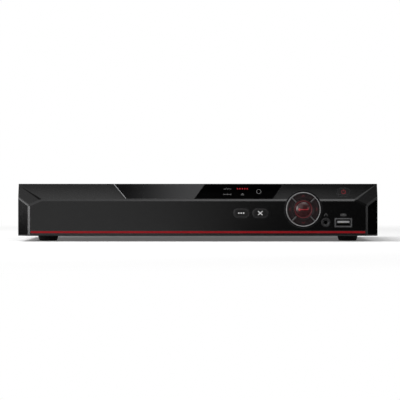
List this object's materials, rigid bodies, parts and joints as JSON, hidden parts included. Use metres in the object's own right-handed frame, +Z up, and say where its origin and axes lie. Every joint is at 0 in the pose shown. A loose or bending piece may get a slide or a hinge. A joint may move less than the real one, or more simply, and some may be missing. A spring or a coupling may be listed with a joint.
{
  "type": "digital video recorder",
  "caption": "Low black desktop video recorder: faceted bezel with round keypad, pill keys, status window and sockets, folded steel case with rear video jacks.",
  "frame": {"origin": "under the middle of the recorder's bounding box, on the floor that its feet stand on", "axes": "+X to the right as seen from the front, along the width; +Y from the front face to the rear panel; +Z up"},
  "size_m": [0.325, 0.2588, 0.052],
  "materials": {
    "black_steel": "satin powder coat",
    "bezel_plastic": "satin to gloss moulded plastic",
    "window_black": "high gloss",
    "smoked_gloss": "gloss",
    "red_trim": "satin",
    "red_light": "translucent, satin",
    "key_black": "satin",
    "bright_ring": "satin plated plastic",
    "foot_rubber": "matt",
    "board_green": "glass-fibre board with green lacquer",
    "bare_metal": "plated",
    "socket_black": "matt",
    "clear_guide": "clear",
    "sink_aluminium": "bare, fine grain",
    "cable_black": "soft sleeve",
    "cable_red": "soft sleeve",
    "audio_white": "satin",
    "audio_red": "satin",
    "video_blue": "satin",
    "terminal_green": "satin"
  },
  "bodies": {
    "recorder": {"keypad_frame": "bright_ring", "enter_light_ring": "red_light", "front_usb_port": "bare_metal", "audio_jack": "socket_black", "red_trim_strip": "red_trim", "status_window": "window_black", "gloss_panel": "smoked_gloss", "front_bezel": "bezel_plastic", "key_board": "board_green", "status_light_guide": "clear_guide", "ir_receiver": "socket_black", "main_board": "board_green", "heat_sink": "sink_aluminium", "coin_cell_holder": "socket_black", "coin_cell": "bare_metal", "hard_drive": "sink_aluminium", "drive_data_cable": "cable_red", "drive_power_cable": "cable_black", "front_panel_cable": "cable_black", "fan_frame": "socket_black", "video_socket_1": "bare_metal", "video_socket_2": "bare_metal", "video_socket_3": "bare_metal", "video_socket_4": "bare_metal", "video_socket_5": "bare_metal", "video_socket_6": "bare_metal", "video_socket_7": "bare_metal", "video_socket_8": "bare_metal", "audio_in_socket": "audio_red", "audio_out_socket": "audio_white", "screw_terminal": "terminal_green", "analogue_video_socket": "video_blue", "digital_video_socket": "bare_metal", "rear_usb_port": "bare_metal", "lan_socket": "bare_metal", "power_inlet": "socket_black", "switch_frame": "socket_black", "earth_screw": "bare_metal", "cover_screw_front_left": "bare_metal", "cover_screw_front_right": "bare_metal", "cover_screw_rear_left": "bare_metal", "cover_screw_rear_right": "bare_metal", "top_cover": "black_steel", "chassis_base": "black_steel", "foot_front_left": "foot_rubber", "foot_front_right": "foot_rubber", "foot_rear_left": "foot_rubber", "foot_rear_right": "foot_rubber"},
    "function_key": {"function_key": "key_black"},
    "escape_key": {"escape_key": "key_black"},
    "power_key": {"power_key": "key_black"},
    "up_key": {"up_key": "key_black"},
    "down_key": {"down_key": "key_black"},
    "left_key": {"left_key": "key_black"},
    "right_key": {"right_key": "key_black"},
    "enter_key": {"enter_key": "key_black"},
    "power_switch_rocker": {"switch_rocker": "socket_black"},
    "fan_wheel": {"fan_rotor": "socket_black"}
  },
  "joints": [
    {"name": "function_press", "type": "slide", "parent": "recorder", "child": "function_key", "axis": [0, 1, 0], "range_m": [0, 0.0006], "stiffness_N_per_m": 2000},
    {"name": "escape_press", "type": "slide", "parent": "recorder", "child": "escape_key", "axis": [0, 1, 0], "range_m": [0, 0.0006], "stiffness_N_per_m": 2000},
    {"name": "power_press", "type": "slide", "parent": "recorder", "child": "power_key", "axis": [0, 1, 0], "range_m": [0, 0.0006], "stiffness_N_per_m": 2000},
    {"name": "up_press", "type": "slide", "parent": "recorder", "child": "up_key", "axis": [0, 1, 0], "range_m": [0, 0.0006], "stiffness_N_per_m": 2000},
    {"name": "down_press", "type": "slide", "parent": "recorder", "child": "down_key", "axis": [0, 1, 0], "range_m": [0, 0.0006], "stiffness_N_per_m": 2000},
    {"name": "left_press", "type": "slide", "parent": "recorder", "child": "left_key", "axis": [0, 1, 0], "range_m": [0, 0.0006], "stiffness_N_per_m": 2000},
    {"name": "right_press", "type": "slide", "parent": "recorder", "child": "right_key", "axis": [0, 1, 0], "range_m": [0, 0.0006], "stiffness_N_per_m": 2000},
    {"name": "enter_press", "type": "slide", "parent": "recorder", "child": "enter_key", "axis": [0, 1, 0], "range_m": [0, 0.0006], "stiffness_N_per_m": 2000},
    {"name": "power_switch_rock", "type": "hinge", "parent": "recorder", "child": "power_switch_rocker", "pos_m": [0.12094, 0.11775, 0.025], "axis": [0, 0, 1], "range_deg": [0, 22]},
    {"name": "fan_spin", "type": "hinge", "parent": "recorder", "child": "fan_wheel", "pos_m": [0.154, -0.03371, 0.0255], "axis": [1, 0, 0], "continuous": true}
  ]
}
